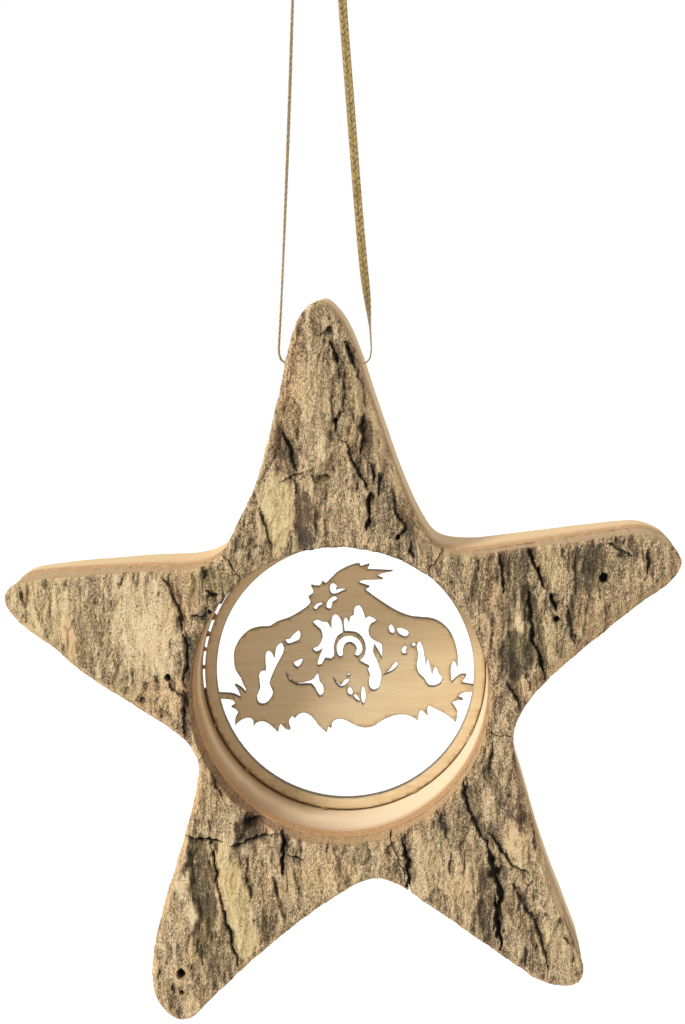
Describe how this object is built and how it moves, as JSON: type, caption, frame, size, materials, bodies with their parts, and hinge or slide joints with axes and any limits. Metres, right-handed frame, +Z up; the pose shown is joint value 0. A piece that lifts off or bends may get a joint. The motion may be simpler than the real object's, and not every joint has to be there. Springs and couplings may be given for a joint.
{
  "type": "hanging wooden star ornament with a cut-out nativity window",
  "caption": "Star cut from a bark-covered wood slab, with a round window that holds a thin laser-cut nativity scene, hung from a flat cord loop.",
  "frame": {"origin": "top of the cord's loop, where the ornament hangs from a twig or a hook", "axes": "+X to the right of the bark face as seen by a viewer, +Y from the bark face to the sawn back, +Z up along the cord"},
  "size_m": [0.1019, 0.02, 0.1801],
  "materials": {
    "sapwood": "sawn pale sapwood, unfinished",
    "inner_bark": "fibrous orange-tan inner bark",
    "outer_bark": "rough weathered bark with fissures",
    "panel_wood": "thin laser-cut sheet with browned edges",
    "wood_glue": "dried beads of wood glue",
    "gold_cord": "flat braid of gold metallic thread"
  },
  "bodies": {
    "hanger": {"hanging_cord": "gold_cord", "cord_knot": "gold_cord"},
    "ornament": {"star_core": "sapwood", "inner_bark": "inner_bark", "top_bark": "outer_bark", "left_bark": "outer_bark", "lower_left_bark": "outer_bark", "lower_right_bark": "outer_bark", "right_bark": "outer_bark", "scene_panel": "panel_wood", "glue_beads": "wood_glue"}
  },
  "joints": [
    {"name": "star_swing", "type": "hinge", "parent": "hanger", "child": "ornament", "pos_m": [0.001, 0, -0.08039], "axis": [1, 0, 0], "range_deg": [-75, 75]}
  ]
}
